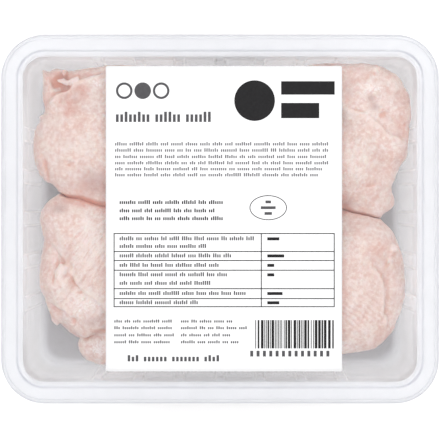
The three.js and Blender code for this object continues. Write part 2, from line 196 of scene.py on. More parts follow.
def tray_mesh():
    foot_in = cavity_inset(0) - WALL
    foot = FLOOR_FILLET + WALL
    # From the middle of the underside out, up the wall and under the flange, round its edge,
    # back in over it, and down inside to the floor.
    levels = [
        (foot_in + foot, 0, FLOOR_CORNER - 1, 0),
        (foot_in + 0.05, 0, FLOOR_CORNER, foot),
        (FLANGE - WALL, LEDGE_TOP - WALL, 10.3, 1.2),
        (BAND_INNER - 0.4, LEDGE_TOP - WALL, 12.5, 0.3),
        (BAND_INNER - 0.7, RIM_TOP - WALL, 12.8, 0.3),
        (BAND_OUTER + 0.3, RIM_TOP - WALL, 16.6, 0.3),
        (BAND_OUTER - 0.1, RIM_TOP - BEAD_DROP - WALL, 17, 0.3),
        (WALL, RIM_TOP - BEAD_DROP - WALL, 17.8, 0.4),
        (WALL - 0.2 - SKIRT_FLARE, SKIRT_END, 18, 0.15),
        (-SKIRT_FLARE, SKIRT_END, CORNER_RADIUS + SKIRT_FLARE, 0.15),
        (0, RIM_TOP - BEAD_DROP, CORNER_RADIUS, 0.7),
        (BAND_OUTER - 0.3, RIM_TOP - BEAD_DROP, 17.2, 0.35),
        (BAND_OUTER, RIM_TOP, 16.9, 0.35),
        (BAND_INNER, RIM_TOP, 12.1, 0.4),
        (BAND_INNER + 0.4, LEDGE_TOP, 11.7, 0.4),
        (FLANGE - 0.75, LEDGE_TOP, 10.1, 0.3),
        (FLANGE - 0.35, LEDGE_TOP + RIDGE, 9.7, 0.3),
        (FLANGE, LEDGE_TOP + RIDGE, 9.4, 0.4),
        (FLANGE + 0.12, LEDGE_TOP - 1, 9.4, 0.5),
        (cavity_inset(0), WALL, FLOOR_CORNER, FLOOR_FILLET),
        (cavity_inset(0) + FLOOR_FILLET, WALL, FLOOR_CORNER - 0.8, 0),
    ]
    profile = rounded(levels)
    slope = np.gradient(profile[:, :2], axis=0)
    steep = np.abs(slope[:, 1]) / np.hypot(*slope.T)
    rings = []
    # The step, edge, corner and floor masks carry painted shade, and bend partly a painted
    # highlight.
    masks = {name: [] for name in ("bend", "thick", "step", "floor", "corner", "edge")}
    for (inset, z, corner), upright in zip(profile, steep):
        flat = ring(inset, corner)
        bend = np.zeros(len(flat))
        everywhere = np.ones(len(flat))
        # Rises towards zero in the corners.
        off_corner = np.minimum(*(np.abs(flat) - (TRAY_LENGTH / 2, TRAY_WIDTH / 2)).T)
        on_flange = inset < FLANGE - 1.2 and z > LEDGE_TOP - 0.1
        on_wall = (inset > FLANGE) * smooth(z, FLOOR_FILLET, 3 * FLOOR_FILLET)
        on_edge = (inset < 0.5) * (1 - smooth(z, SKIRT_END, SKIRT_END + 0.5))
        masks["thick"].append(everywhere * smooth(z, LEDGE_TOP - MILKY_DEPTH, LEDGE_TOP))
        masks["floor"].append(everywhere * smooth(inset - cavity_inset(0), 1.9, 3.1))
        masks["step"].append(upright * on_flange * (0.5 + 0.5 * smooth(off_corner, -24, -8)))
        masks["corner"].append(on_wall * smooth(off_corner, -34, -20))
        masks["edge"].append(everywhere * on_edge)
        if inset > FLANGE - 2 * WALL and z < LEDGE_TOP - 0.6:
            rise = 1 - smooth(z, LEDGE_TOP - 3, LEDGE_TOP - 1)
            rise = smooth(z, WALL + 0.4, WALL + 5) * rise
            x, y = flat.T
            side_x = np.abs(x) > TRAY_LENGTH / 2 - inset - 0.02
            side_y = np.abs(y) > TRAY_WIDTH / 2 - inset - 0.02
            push_x = rib_height(y, **RIBS_ON_SHORT_SIDE) * side_x
            push_y = rib_height(x, **RIBS_ON_LONG_SIDE) * side_y
            bend = np.maximum(push_x * (1 - push_x), push_y * (1 - push_y)) * 4 * rise
            flat[:, 0] -= np.sign(x) * push_x * rise * RIB_DEPTH
            flat[:, 1] -= np.sign(y) * push_y * rise * RIB_DEPTH
        rings.append(np.column_stack([flat, np.full(len(flat), z)]))
        masks["bend"].append(bend)
    shrink = [0.97, 0.9, 0.78, 0.6, 0.4, 0.2, 0.05]
    under, over = rings[0], rings[-1]
    stack = [under * (k, k, 1) for k in reversed(shrink)] + rings
    stack += [over * (k, k, 1) for k in shrink]
    points, faces = closed_stack(stack, [[0, 0, 0], [0, 0, WALL]])
    for name, rows in masks.items():
        middle = np.full(len(shrink) * len(under), rows[0][0])
        masks[name] = np.concatenate([middle, *rows, middle, middle[:2]])
    return points, faces, masks


def polypropylene(name):
    """Natural polypropylene sheet, formed under vacuum: clear with a milky cast, satin."""
    material, tree, surface = new_material(name)
    place = add(tree, "ShaderNodeTexCoord").outputs["Object"]
    # The stretched sheet is a little uneven in thickness, over 15 mm or so.
    inputs = {"Vector": place, "Scale": scale_for(15.4), "Detail": 2}
    cloud = add(tree, "ShaderNodeTexNoise", inputs)
    limits = {"From Min": 0.3, "From Max": 0.7, "To Min": 0.22, "To Max": 0.28}
    limits["Value"] = cloud.outputs["Fac"]
    milk = add(tree, "ShaderNodeMapRange", limits).outputs["Result"]
    colour = linear("#dcdde2")
    # The flange is thicker than the stretched walls, and milkier. The sheet is whiter where it was
    # stretched over the ribs' edges, partly as stress whitening and partly as a painted highlight
    # of the light those edges catch. Painted shade darkens the flange's steps, where light runs out
    # of the sheet sideways, its cut edge, its deep corners, and the floor, which stands in its own
    # shade.
    for mask, share, tint in (
        ("thick", 0.3, "#e5e6eb"),
        ("bend", 0.2, "#fafafc"),
        ("step", 0.15, "#bdbfc9"),
        ("edge", 0.3, "#c4c6ce"),
        ("corner", 0.06, "#c7c4c6"),
        ("floor", 0.06, "#bebcc0"),
    ):
        amount = add(tree, "ShaderNodeAttribute", attribute_name=mask).outputs["Fac"]
        more = {0: amount, 1: share, 2: milk}
        milk = add(tree, "ShaderNodeMath", more, operation="MULTIPLY_ADD").outputs["Value"]
        layers = {0: amount, 6: colour, 7: linear(tint)}
        colour = add(tree, "ShaderNodeMix", layers, data_type="RGBA").outputs[2]
    # The sheet's satin grain is finer than this, and is drawn 1 mm wide so that it shows.
    inputs = {"Vector": place, "Scale": scale_for(1.11), "Detail": 3}
    grain = add(tree, "ShaderNodeTexNoise", inputs).outputs["Fac"]
    bump = add(tree, "ShaderNodeBump", {"Height": grain, "Strength": 0.15, "Distance": 0.0001})
    plastic = add(
        tree,
        "ShaderNodeBsdfPrincipled",
        {
            "Base Color": colour,
            "Roughness": 0.34,
            "IOR": 1.49,
            "Alpha": milk,
            "Subsurface Weight": 0.8,
            "Subsurface Radius": (1, 1, 1),
            "Subsurface Scale": 0.003,
            "Normal": bump.outputs["Normal"],
        },
    )
    tree.links.new(plastic.outputs["BSDF"], surface)
    return material


def add_mask(piece, name, values):
    """Stores one number, or one place, for each point of a piece."""
    kind, field = ("FLOAT", "value") if values.ndim == 1 else ("FLOAT_VECTOR", "vector")
    mask = piece.data.attributes.new(name, kind, "POINT")
    mask.data.foreach_set(field, values.astype(np.float32).ravel())


tray_points, tray_faces, tray_masks = tray_mesh()
tray_plastic = polypropylene("natural_polypropylene_formed")
tray = make_piece("formed_tray", tray_points, tray_faces, tray_plastic)
for mask_name, mask_values in tray_masks.items():
    add_mask(tray, mask_name, mask_values)
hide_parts("tray")

# ------------------------------------------------------------------ wings
# Four raw wings lie skin side up in one layer, each folded at its joints and pressed into
# its corner of the tray. Under the skin the flesh is a few rounded masses that run together;
# the skin lies in folds over them, with bits of fat, and ice crystals from chilling on top.

WING_GAP = 0.2
WING_WALL_GAP = 0.6
WING_FLOOR_GAP = 0.4
UNDERSIDE = 16  # height of every lobe's rounded lower end
FOLD_STEPS = 4
FOLD_FADE = 6  # length over which a fold dies out at its ends
LIP_RISE = 0.9  # how sharply the upper sheet's edge turns down
LIP_ROLL = 6  # how far the upper sheet's swelling reaches
FOLD_FOOT = 12  # folds start above this height
FOLD_FULL = 22  # and are fully formed from this height up
FLESH_BLEND = 2.5  # bits that join more softly than this are flesh, not fat
FLESH_CELL = 0.72
# Creases get painted shade; these two set where it falls.
CREASE_LOOK = 2.5  # skin lies in a crease where, this far out from it, ...
CREASE_NEAR = 2.3  # ... other skin is nearer than this
GIVE = 1.3  # how far a wing gives way to close up with its neighbour
# The grid of the noise is turned, so that no pattern lines up with the tray.
NOISE_TURN = np.array([[0.8, 0.48, 0.36], [-0.6, 0.64, 0.48], [0, -0.6, 0.8]])
NOISE_PRIMES = np.array([73856093, 19349663, 83492791])
NOISE_VALUES = 4096

# lobe: where it stands, its half sizes, its top, its rounded cap, its turn in degrees, and
# how softly it runs into the lobes before it. The first entry is the lowest one.
# fold: the path of the upper sheet's edge with that sheet on the left, the crease's depth,
# the lip's rise, and how far the lower side dips. pit: place, radius, depth.
# bit: a scrap of fat or skin: place, half sizes, turn, and how softly it joins the flesh.
# strands: place, half sizes, turn, a strand's length, their spacing, how even they are, and
# their height. rows: the turn of the follicles' rows, and their spacing along and across.
# pores, pulled and rough: patches of skin that show its follicles, is stretched into strands,
# or is bumpy, each with its place, half sizes, turn and strength.
WINGS = {
    "wing_back_left": dict(
        lobes=[
            ((-48, 60.5), (28, 8.5), 36.5, 8, 0, 0),
            ((-72.8, 56.2), (6.3, 11), 35.5, 7, 0, 4),
            ((-22, 36), (21, 30), 37.5, 14, 0, 8),
            ((-76.5, 30), (7.5, 13), 33, 7, 12, 3),
            ((-50, 33.5), (33, 27.5), 39, 13, 0, 2.5),
            ((-45, 18.5), (22, 19.5), 37.5, 13, 0, 8),
        ],
        folds=[
            (
                [(-47.5, 64.5), (-57.5, 64), (-63.5, 62), (-69, 58), (-74, 54.5), (-77.5, 51)],
                2.4,
                0.8,
                3,
            ),
            ([(-74, 15), (-76.2, 20), (-78, 25), (-79.8, 31)], 0.8, 0.7, 2.5),
        ],
        pits=[
            ((-70.6, 60, 33), 3, 6),
            ((-61, 63.8, 34.5), 1.8, 2),
            ((-65.8, 23.9, 36.8), 1.5, 1.2),
            ((-56, 27, 38.4), 5, 0.4),
        ],
        bits=[
            ((-68.6, 60.8, 33.6), (3.5, 1.5, 1.5), -5, 1.6),
            ((-64.6, 61.6, 35), (3, 1.1, 1.1), 20, 1.6),
            ((-73, 56.6, 31.2), (2.6, 0.6, 1.2), 25, 1.4),
            ((-79.6, 45.2, 28.6), (1.5, 0.8, 1.4), 20, 1.5),
            ((-78, 64, 31), (0.8, 2.4, 3), 28, 2.5),
            ((-68.6, 65, 34), (1.6, 1.4, 1.4), 10, 2.6),
        ],
        strands=[((-52, 66), (12, 4), 8, 5, 1.6, 0.4, 0.25)],
        rows=(78, 2.6, 1.9),
        pores=[((-56, 35), (20, 20), 0, 0.3)],
        pulled=[((-56, 35), (40, 40), 0, 0.4), ((-78, 30), (8, 20), 0, 0.4)],
        rough=[
            ((-58, 65), (16, 3), 0, 0.6),
            ((-76, 56), (4, 10), 0, 0.6),
            ((-52, 20), (9, 8), 0, 0.5),
        ],
    ),
    "wing_front_left": dict(
        lobes=[
            ((-73.5, -24), (8.5, 15.5), 30, 9, 0, 0),
            ((-55, -38), (18, 15.5), 33, 11, 0, 7),
            ((-70.5, -28), (8, 10), 33, 9, 0, 3),
            ((-67, -42.5), (14, 9), 19, 8, -52, 4),
            ((-48.5, -57.5), (15.5, 10.5), 25.5, 9, 0, 2),
            ((-22, -32), (21, 30), 36.5, 14, 0, 8),
            ((-40, -18), (38, 26), 39, 13, -50, 2),
            ((-63.5, -2.5), (16.5, 12), 35.5, 11, 0, 8),
            ((-71, 2), (8, 7.5), 31, 8, 0, 6),
        ],
        folds=[
            (
                [(-76.5, -10.5), (-71.5, -16.5), (-67.8, -24), (-59.5, -33.5), (-46, -44)],
                0.5,
                0.9,
                3,
            ),
            ([(-78, -35), (-75, -37.5), (-70, -41), (-66, -45)], 1, 0.7, 3),
            ([(-62.5, -55), (-57, -52), (-48.5, -50)], 1.6, 0.3, 3),
            ([(-74, -15), (-72.5, -19.5), (-74, -24), (-76, -29)], 1, 0.3, 2),
            ([(-63, -33), (-60.5, -36), (-57, -36.5), (-52, -41)], 0.7, 0.5, 2),
        ],
        pits=[((-64.9, -45, 30), 1.8, 1.8), ((-73.6, -26.4, 31), 1.2, 0.8)],
        bits=[
            ((-70.6, -22.4, 31.8), (2.4, 2.9, 1.6), 0, 2.3),
            ((-74.3, -40.8, 20), (6.5, 3.6, 5), -68, 3),
            ((-75.6, -46.2, 18.5), (2.8, 1.2, 1.8), -71, 2.2),
            ((-57.5, -63, 18), (2.4, 1.2, 2), 20, 2),
        ],
        strands=[((-56, -17), (28, 17), 50, 5, 1, 0, 0.2)],
        rows=(50, 4, 1.4),
        pores=[((-58, -40), (16, 10), 0, 0.3)],
        pulled=[((-58, -15), (34, 20), 50, 1), ((-56, -42), (14, 10), 0, 0.6)],
        rough=[
            ((-58, -43), (12, 8), -30, 0.9),
            ((-52, -59), (12, 7), 0, 0.9),
            ((-75, -25), (4, 12), 0, 0.5),
        ],
    ),
    "wing_back_right": dict(
        lobes=[
            ((65.5, 47), (19.5, 21), 38.8, 6, 0, 0),
            ((48, 57), (22, 12.5), 37.5, 9, 0, 8),
            ((61.8, 10.9), (17.2, 10.8), 32, 10, -14, 6),
            ((24, 35.5), (22.5, 31), 37.5, 14, 0, 8),
            ((48, 28), (28, 20.5), 39.5, 14, -20, 3),
            ((71, 33.5), (14, 9.5), 38, 9, -28, 6),
        ],
        folds=[
            (
                [(83, 32), (80, 35.5), (76.3, 38.2), (71, 41.8), (64, 46.3), (53, 50)],
                1.1,
                0.9,
                4.5,
            ),
            ([(72.5, 15.5), (66, 15), (58, 15.5)], 1, 0.5, 3),
        ],
        pits=[
            ((67, 51, 38.5), 4.6, 2),
            ((66.5, 53, 37), 2, 1.4),
            ((67.8, 49, 36.6), 1.9, 1.4),
            ((72, 45, 37.5), 2.5, 1.4),
            ((71.3, 45.6, 36.6), 1.3, 1.6),
            ((81.4, 41.5, 35), 1, 0.9),
        ],
        bits=[
            ((68.8, 65.2, 36), (1.8, 1.3, 1.2), 30, 1),
            ((82.3, 38.5, 32.5), (1.8, 5, 3), 0, 3),
            ((74, 20.3, 24), (4.8, 8, 9), -12, 5),
            ((77.5, 24, 31), (1.2, 0.9, 1.4), 0, 1.5),
        ],
        strands=[
            ((62, 30), (14, 14), 70, 9, 4.5, 0.5, 0.16),
            ((58, 24), (14, 12), -35, 9, 5, 0.5, 0.12),
        ],
        rows=(62, 2.8, 2.1),
        pores=[((60, 28), (20, 16), 0, 0.5), ((60, 10), (16, 10), 0, 0.4)],
        pulled=[((62, 40), (24, 30), 0, 0.5)],
        rough=[
            ((76, 50), (10, 12), 0, 1.2),
            ((58, 60), (14, 6), 0, 0.8),
            ((60, 12), (12, 8), 0, 0.5),
        ],
    ),
    "wing_front_right": dict(
        lobes=[
            ((71.8, -29.5), (12, 22.3), 32, 10, 2, 0),
            ((62, -47), (14.5, 13), 33, 11, 0, 6),
            ((24, -32), (21, 29), 37.5, 14, 0, 8),
            ((48, -28.5), (27, 33), 39.5, 15, 8, 2.5),
            ((62, -13), (16, 14.5), 36.5, 13, 0, 9),
        ],
        folds=[
            (
                [
                    (73.8, -51),
                    (74.8, -44.5),
                    (74, -41),
                    (74.8, -36),
                    (74.2, -31),
                    (71.6, -25),
                    (65, -16.5),
                ],
                1.4,
                0.9,
                4,
            ),
            ([(76.5, -15.5), (74, -19.5), (71.5, -25)], 1, 0.3, 2),
            ([(60, -18.5), (64, -21), (67.5, -25.5)], 0.5, 0.4, 2.5),
        ],
        pits=[((66, -20, 36), 2.5, 0.8)],
        bits=[
            ((77, -13, 31.4), (1.8, 1.3, 1.4), 20, 1.2),
            ((75.3, -18.6, 32), (1.1, 1.4, 1.3), 0, 1.2),
            ((63.8, -13.7, 36.6), (0.6, 0.6, 0.6), 0, 0.4),
        ],
        strands=[((61, -38), (16, 15), -35, 6, 2.1, 0.8, 0.1)],
        rows=(-35, 4.8, 2.1),
        pores=[((61, -41), (17, 14), 0, 0.9), ((60, -14), (14, 12), 0, 0.25)],
        pulled=[((62, -12), (24, 16), 0, 0.4), ((78, -34), (8, 20), 0, 0.5)],
        rough=[
            ((79, -30), (5, 18), 0, 0.8),
            ((70, -15), (8, 6), -40, 0.7),
            ((66, -55), (12, 5), 20, 0.8),
        ],
    ),
}

# patches of each colour: place seen from above, half sizes, turn and strength. Blush is where
# flesh shows through thin skin, and its long thin patches along the label's edges are painted
# shadow of the label. Dusk is painted shade where the skin is hollow beneath. Frost is where ice
# lies, and one of its patches is painted light on a low lobe in shade.
BLUSH_AND_LABEL_SHADOW = [
    ((-66, 49), (4.5, 5), 30, 1.1),
    ((-60, 57.5), (6, 3.4), 10, 0.9),
    ((-78, 24), (2.4, 6), 20, 0.9),
    ((-77, 56), (3.2, 9), 0, 0.5),
    ((-71, 59.5), (3, 4), 0, 1.2),
    ((-56, 65), (14, 2.5), 0, 0.3),
    ((-54, 15), (9, 5), 0, 0.5),
    ((-60, 7), (14, 3), -14, 0.9),
    ((-58, 13), (14, 6), -10, 0.4),
    ((60, 3), (12, 2.2), -10, 0.9),
    ((-75, -22), (2.4, 6), 0, 0.5),
    ((-55, -50), (9, 3), 15, 0.7),
    ((-72, -43), (4, 3), -50, 0.3),
    # the next two are painted shadow along the label's left edge
    ((-50.3, 30), (1.6, 30), 0, 0.45),
    ((-50.3, -25), (1.4, 22), 0, 0.6),
    ((78, 42), (6, 8), 0, 0.5),
    ((82, 36), (4, 7), 0, 0.4),
    ((55, 8), (4, 4), 0, 0.9),
    ((70, 10), (7, 5), 0, 0.5),
    # painted shadow along the label's right edge
    ((54, 30), (2, 30), 0, 0.5),
    ((58, 61), (7, 3), 0, 0.6),
    ((70, -14.5), (9, 7), -40, 0.6),
    # painted shadow along the label's right edge
    ((54, -30), (2, 28), 0, 0.6),
    ((73, -52), (6, 5), 0, 0.7),
]
# painted shade where the skin dips into hollows
HOLLOW_SHADE = [
    ((-55, 17.5), (7, 5), -30, 0.6),
    ((-58, 12), (16, 7), -8, 0.35),
    ((-57, 32), (20, 14), 0, 0.15),
    ((-71, 4.4), (4, 2.6), 0, 0.9),
    ((-64, 53), (2, 3), 20, 0.5),
    ((-57, -46), (6, 4), 0, 0.5),
    ((66.4, 53), (2.2, 2.2), 0, 0.8),
    ((67.8, 49), (2.4, 2.2), 0, 0.75),
    ((56, 57), (4, 5), 0, 0.5),
    ((53, 40), (3, 10), 0, 0.35),
    ((77, -36), (3, 5), 0, 0.3),
]
FROST_AND_PAINTED_LIGHT = [
    ((-54, 59), (6, 6), 0, 0.9),
    ((-57, 36), (10, 10), 0, 0.6),
    ((-65, 50), (2, 2), 0, 0.7),
    ((-57, 20), (8, 6), 0, 0.4),
    ((-58, -2), (14, 9), 0, 0.6),
    # painted light: lifts the front left wing's low lobe, which lies in shade
    ((-54, -58), (14, 7), 20, 1.1),
    ((77, -13), (2.2, 1.8), 20, 0.7),
    ((75.3, -18.6), (1.6, 2), 0, 0.7),
    ((-70.6, -22.4), (2.6, 3), 0, 0.6),
    ((-60, -38), (12, 9), 0, 0.9),
    ((-74, -22), (4, 12), 0, 0.6),
    ((78, -36), (5, 16), 0, 0.5),
    ((-74, -2), (5, 6), 0, 0.3),
    ((66, 57), (8, 5), 0, 1.0),
    ((75, 49), (6, 7), 0, 0.8),
    ((64, 47), (8, 4), -30, 0.7),
    ((60, 34), (13, 10), 0, 0.5),
    ((77, 32), (6, 4), 0, 0.6),
    ((-58, 65.5), (16, 3), 0, 0.3),
    ((62, -58), (14, 6), 0, 0.4),
    ((58, 18), (6, 5), 0, 0.5),
    ((71, 3.4), (6, 2.2), -15, 0.9),
    ((55, -9), (5, 6), 0, 0.6),
    ((80, -22), (3, 8), 0, 0.3),
    ((55, -56), (4, 3), 0, 0.6),
]
# small dimples and creases, pressed into the skin and given painted shade
DIMPLES = [
    ((-65.8, 23.9), (2, 0.9), 25, 0.75),
    ((-77.2, 24), (0.8, 3), 25, 0.4),
    ((-62.2, 10.3), (1.6, 0.7), 0, 0.8),
    ((-73.8, -26.4), (0.8, 2.6), 0, 0.9),
    ((-62.2, -32.8), (2.2, 0.8), 0, 0.8),
    ((-64.9, -45), (1.3, 2), 30, 0.95),
    ((-53, -50), (4.5, 1.5), 0, 1),
    ((71.3, 45.6), (1.1, 1.9), -40, 1),
    ((81.4, 41.5), (0.8, 1.1), 0, 0.9),
    ((67.5, 63.5), (0.8, 1.2), 0, 0.8),
    ((73.6, -41.2), (0.9, 1.7), 0, 0.9),
    ((71.6, -25.2), (1, 1.3), -30, 0.8),
    ((74.4, -20.6), (0.8, 2.4), -30, 0.8),
    ((76.4, -16.2), (2, 0.6), 30, 0.8),
    ((67, -20.6), (0.6, 1.8), 30, 0.6),
]


def noise(points, size, seed):
    """Smooth random values from -1 to 1 that change over the given size."""
    table = np.random.default_rng(seed).uniform(-1, 1, NOISE_VALUES)
    count = points.shape[-1]
    grid = points @ NOISE_TURN[:count, :count] / size
    cell = np.floor(grid).astype(np.int64)
    t = grid - cell
    t = t * t * (3 - 2 * t)
    total = np.zeros(points.shape[:-1])
    for corner in itertools.product((0, 1), repeat=count):
        key = (cell + corner) * NOISE_PRIMES[:count]
        place = np.bitwise_xor.reduce(key, axis=-1) % NOISE_VALUES
        total += table[place] * np.where(corner, t, 1 - t).prod(-1)
    return total


def smooth_union(a, b, blend):
    if not blend:
        return np.minimum(a, b)
    overlap = np.maximum(blend - np.abs(a - b), 0) / blend
    return np.minimum(a, b) - overlap * overlap * blend / 4


def smooth_cut(a, b, blend):
    return -smooth_union(-a, -b, blend)


def turned(x, y, at, turn):
    """Coordinates along and across an axis that is turned about the vertical."""
    c, s = math.cos(math.radians(turn)), math.sin(math.radians(turn))
    return (x - at[0]) * c + (y - at[1]) * s, (y - at[1]) * c - (x - at[0]) * s


def rounded_distance(along, across, up, sizes):
    far = np.sqrt((along / sizes[0]) ** 2 + (across / sizes[1]) ** 2 + (up / sizes[2]) ** 2)
    steep = np.sqrt(
        (along / sizes[0] ** 2) ** 2 + (across / sizes[1] ** 2) ** 2 + (up / sizes[2] ** 2) ** 2
    )
    return far * (far - 1) / np.maximum(steep, 1e-6)


def lobe_distance(x, y, z, at, size, top, cap, turn):
    along, across = turned(x, y, at, turn)
    low = min(UNDERSIDE, top - cap)
    up = z - np.clip(z, low, top - cap)
    return rounded_distance(along, across, up, (*size, np.where(up > 0, cap, low)))


def smooth_path(path):
    """A curve through the points of a fold's path."""
    knots = np.array([2 * np.array(path[0]) - path[1], *path, 2 * np.array(path[-1]) - path[-2]])
    t = np.arange(FOLD_STEPS)[:, None] / FOLD_STEPS
    out = []
    for a, b, c, d in zip(knots, knots[1:], knots[2:], knots[3:]):
        bend, turn = 2 * a - 5 * b + 4 * c - d, 3 * b - a - 3 * c + d
        out += list(0.5 * (2 * b + (c - a) * t + bend * t**2 + turn * t**3))
    return out + [knots[-2]]


def ragged(x, y):
    """Shifts places by up to a millimetre, so that edges wander as cut skin does."""
    x, y = np.broadcast_arrays(x, y)
    flat = np.stack([x, y], -1)
    return (
        x + 0.8 * noise(flat, 6, 11) + 0.35 * noise(flat, 2.4, 12),
        y + 0.8 * noise(flat, 6, 13) + 0.35 * noise(flat, 2.4, 14),
    )


def fold_relief(x, y, z, path, depth, lip, dip, marks=False):
    """How much a fold takes off the skin, or adds to it where negative.

    With marks it gives where the upper sheet's rim gets a painted highlight, and where the dark
    line under it gets painted shade.
    """
    points = smooth_path(path)
    steps = [b - a for a, b in zip(points, points[1:])]
    lengths = [np.hypot(*step) for step in steps]
    whole = sum(lengths)
    best, side, to_end, run = np.inf, 1.0, 0.0, 0.0
    for start, step, length in zip(points, steps, lengths):
        dx, dy = x - start[0], y - start[1]
        t = np.clip((dx * step[0] + dy * step[1]) / length**2, 0, 1)
        away = np.hypot(dx - t * step[0], dy - t * step[1])
        nearer = away < best
        best = np.where(nearer, away, best)
        side = np.where(nearer, step[0] * dy - step[1] * dx, side)
        nearest_end = np.minimum(run + t * length, whole - run - t * length)
        to_end = np.where(nearer, nearest_end, to_end)
        run += length
    rise = np.exp(-((best / LIP_RISE) ** 2))
    upper = depth * rise - lip * (1 - rise) * np.exp(-best / LIP_ROLL)
    lower = depth * np.exp(-best / dip)
    height = np.clip((z - FOLD_FOOT) / (FOLD_FULL - FOLD_FOOT), 0, 1)
    reach = smooth(to_end, 0, FOLD_FADE) * height
    if marks:
        rim_highlight = np.where(side > 0, np.exp(-(((best - 1.8) / 1.3) ** 2)), 0)
        line = np.where(side > 0, np.exp(-((best / 0.6) ** 2)), np.exp(-((best / 1.5) ** 2)))
        return rim_highlight * reach * min(lip, 1), line * reach * min(depth / 2, 1)
    return np.where(side > 0, upper, lower) * reach


def tray_space_distance(x, y, z):
    inset = cavity_inset(z) + RIB_DEPTH + WING_WALL_GAP
    a = np.abs(x) - (TRAY_LENGTH / 2 - inset - FLOOR_CORNER)
    b = np.abs(y) - (TRAY_WIDTH / 2 - inset - FLOOR_CORNER)
    outside = np.hypot(np.maximum(a, 0), np.maximum(b, 0))
    wall = outside + np.minimum(np.maximum(a, b), 0) - FLOOR_CORNER
    return smooth_cut(wall, WALL + WING_FLOOR_GAP - z, 4)


def wing_distance(x, y, z, wing):
    distance = None
    ragged_x, ragged_y = ragged(x, y)
    half_x, half_y = (x + ragged_x) / 2, (y + ragged_y) / 2
    for at, size, top, cap, turn, blend in wing["lobes"]:
        lobe = lobe_distance(half_x, half_y, z, at, size, top, cap, turn)
        distance = lobe if distance is None else smooth_union(distance, lobe, blend)
    for path, depth, lip, dip in wing["folds"]:
        distance = distance + fold_relief(ragged_x, ragged_y, z, path, depth, lip, dip)
    for at, radius, depth in wing["pits"]:
        away = ((x - at[0]) ** 2 + (y - at[1]) ** 2 + (z - at[2]) ** 2) / radius**2
        distance = distance + depth * np.exp(-away)
    for at, sizes, turn, blend in wing["bits"]:
        along, across = turned(ragged_x, ragged_y, at, turn)
        distance = smooth_union(distance, rounded_distance(along, across, z - at[2], sizes), blend)
    return smooth_cut(distance, tray_space_distance(x, y, z), 1.5)


def clear_distance(x, y, z, name):
    """The wing's surface, kept clear of the wings that were laid in before it."""
    distance = wing_distance(x, y, z, WINGS[name])
    for other in WINGS:
        if other == name:
            break
        distance = smooth_cut(distance, WING_GAP - wing_distance(x, y, z, WINGS[other]), 1)
    return distance


def fill_pinches(values):
    """Fills the places where a form would touch itself along one edge only."""
    while True:
        pinched = np.zeros(values.shape, bool)
        for axis in range(3):
            full, mark = np.moveaxis(values < 0, axis, 2), np.moveaxis(pinched, axis, 2)
            a, b, c, d = full[:-1, :-1], full[1:, 1:], full[:-1, 1:], full[1:, :-1]
            mark[:-1, :-1] |= c & d & ~a & ~b
            mark[:-1, 1:] |= a & b & ~c & ~d
        if not pinched.any():
            return values
        values = np.where(pinched, -0.1, values)


def surface_net(values, start, cell):
    """The surface where a grid of distances is zero, as points and four-sided faces."""
    inside = values < 0
    corners = list(itertools.product((0, 1), repeat=3))
    shape = np.array(values.shape) - 1
    view = [inside[a : a + shape[0], b : b + shape[1], c : c + shape[2]] for a, b, c in corners]
    count = np.sum(view, axis=0)
    mixed = (count > 0) & (count < 8)
    number = np.full(mixed.shape, -1)
    number[mixed] = np.arange(mixed.sum())
    cells = np.argwhere(mixed)
    total = np.zeros((len(cells), 3))
    hits = np.zeros(len(cells))
    faces = []
    for axis in range(3):
        unit = np.eye(3, dtype=int)[axis]
        others = [np.eye(3, dtype=int)[i] for i in ((axis + 1) % 3, (axis + 2) % 3)]
        for a, b in itertools.product((0, 1), repeat=2):
            near = cells + a * others[0] + b * others[1]
            low = values[tuple(near.T)]
            high = values[tuple((near + unit).T)]
            crossed = (low < 0) != (high < 0)
            share = low[crossed] / (low[crossed] - high[crossed])
            total[crossed] += near[crossed] + share[:, None] * unit
            hits[crossed] += 1
        a = np.moveaxis(inside, axis, 0)
        crossing = np.moveaxis(a[:-1] != a[1:], 0, axis)
        edges = np.argwhere(crossing)
        edges = edges[(edges[:, (axis + 1) % 3] > 0) & (edges[:, (axis + 2) % 3] > 0)]
        edges = edges[(edges < shape).all(1)]
        quad = [
            number[tuple((edges - a * others[0] - b * others[1]).T)]
            for a, b in ((1, 1), (0, 1), (0, 0), (1, 0))
        ]
        quad = np.stack(quad, 1)
        leaves = inside[tuple(edges.T)]
        faces.append(np.where(leaves[:, None], quad, quad[:, ::-1]))
    return start + total / hits[:, None] * cell, np.concatenate(faces).tolist()


def patches(points, entries):
    """How strongly a kind of patch colours each point."""
    amount = np.zeros(len(points))
    for at, sizes, turn, strength in entries:
        along, across = turned(points[:, 0], points[:, 1], at, turn)
        amount += strength * np.exp(-((along / sizes[0]) ** 2) - (across / sizes[1]) ** 2)
    return amount * smooth(points[:, 2], 16, 26)


